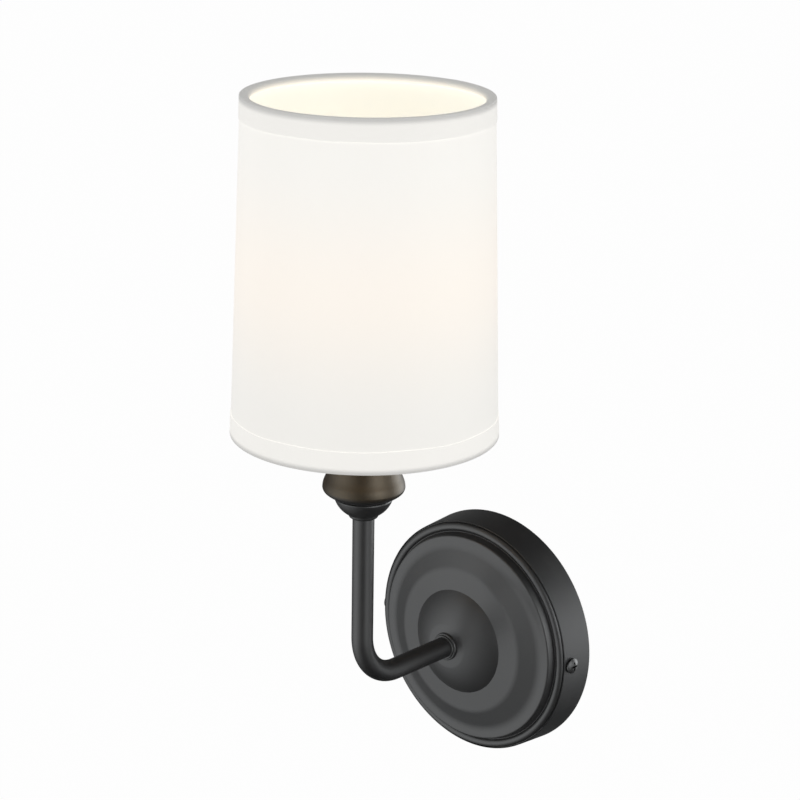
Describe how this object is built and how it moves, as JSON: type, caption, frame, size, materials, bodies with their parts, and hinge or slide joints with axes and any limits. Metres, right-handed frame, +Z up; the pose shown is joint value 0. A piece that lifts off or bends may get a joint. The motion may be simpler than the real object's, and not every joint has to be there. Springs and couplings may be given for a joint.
{
  "type": "wall light",
  "caption": "Wall light with a tapered fabric drum shade above a turned cup on a bent tube arm, rising from a round stepped wall canopy with a domed centre.",
  "frame": {"origin": "centre of the back of the wall canopy, on the wall surface", "axes": "+Z up along the lamp axis, the wall is the plane Y = 0 and the light stands out of it towards -Y, +X to the right of a viewer who faces the wall"},
  "size_m": [0.1238, 0.1604, 0.3425],
  "materials": {
    "black_metal": "satin black powder coat",
    "zinc_steel": "zinc plated",
    "green_screw": "green plated",
    "black_plastic": "moulded phenolic",
    "brass": "plain",
    "cap_metal": "bright",
    "black_glass": "fused glass",
    "frosted_glass": "frosted inside",
    "linen": "fine plain-weave linen",
    "cream_liner": "smooth laminated backing",
    "hem_tape": "self-fabric tape",
    "frame_wire": "nickel plated"
  },
  "bodies": {
    "fixture": {"wall_canopy": "black_metal", "mounting_strap": "zinc_steel", "ground_screw": "green_screw", "arm_tube": "black_metal", "arm_collar": "black_metal", "lock_washer": "zinc_steel", "canopy_nut": "zinc_steel", "wire_bushing": "black_plastic", "neck_collar": "black_metal", "socket_cup": "black_metal", "cup_nut": "zinc_steel", "socket_holder": "black_metal", "socket_body": "black_plastic", "screw_shell": "brass", "centre_contact": "brass", "fixing_screws": "zinc_steel"},
    "shade": {"shade_fabric": "linen", "shade_liner": "cream_liner", "top_hem": "hem_tape", "bottom_hem": "hem_tape", "top_ring": "frame_wire", "bottom_ring": "frame_wire", "fitter_washer": "frame_wire", "fitter_arms": "frame_wire"},
    "ring": {"ring_nut": "black_plastic"},
    "bulb": {"bulb_glass": "frosted_glass", "bulb_cap": "cap_metal", "bulb_insulator": "black_glass", "bulb_contact": "cap_metal"},
    "right_screw": {"side_screw_right": "black_metal"},
    "left_screw": {"side_screw_left": "black_metal"}
  },
  "joints": [
    {"name": "shade_lift", "type": "slide", "parent": "fixture", "child": "shade", "axis": [0, 0, 1], "range_m": [0, 0.12]},
    {"name": "ring_lift", "type": "slide", "parent": "shade", "child": "ring", "axis": [0, 0, 1], "range_m": [0, 0.15]},
    {"name": "bulb_lift", "type": "slide", "parent": "fixture", "child": "bulb", "axis": [0, 0, 1], "range_m": [0, 0.165]},
    {"name": "right_screw_out", "type": "slide", "parent": "fixture", "child": "right_screw", "axis": [1, 0, 0], "range_m": [0, 0.012]},
    {"name": "left_screw_out", "type": "slide", "parent": "fixture", "child": "left_screw", "axis": [-1, 0, 0], "range_m": [0, 0.012]}
  ]
}
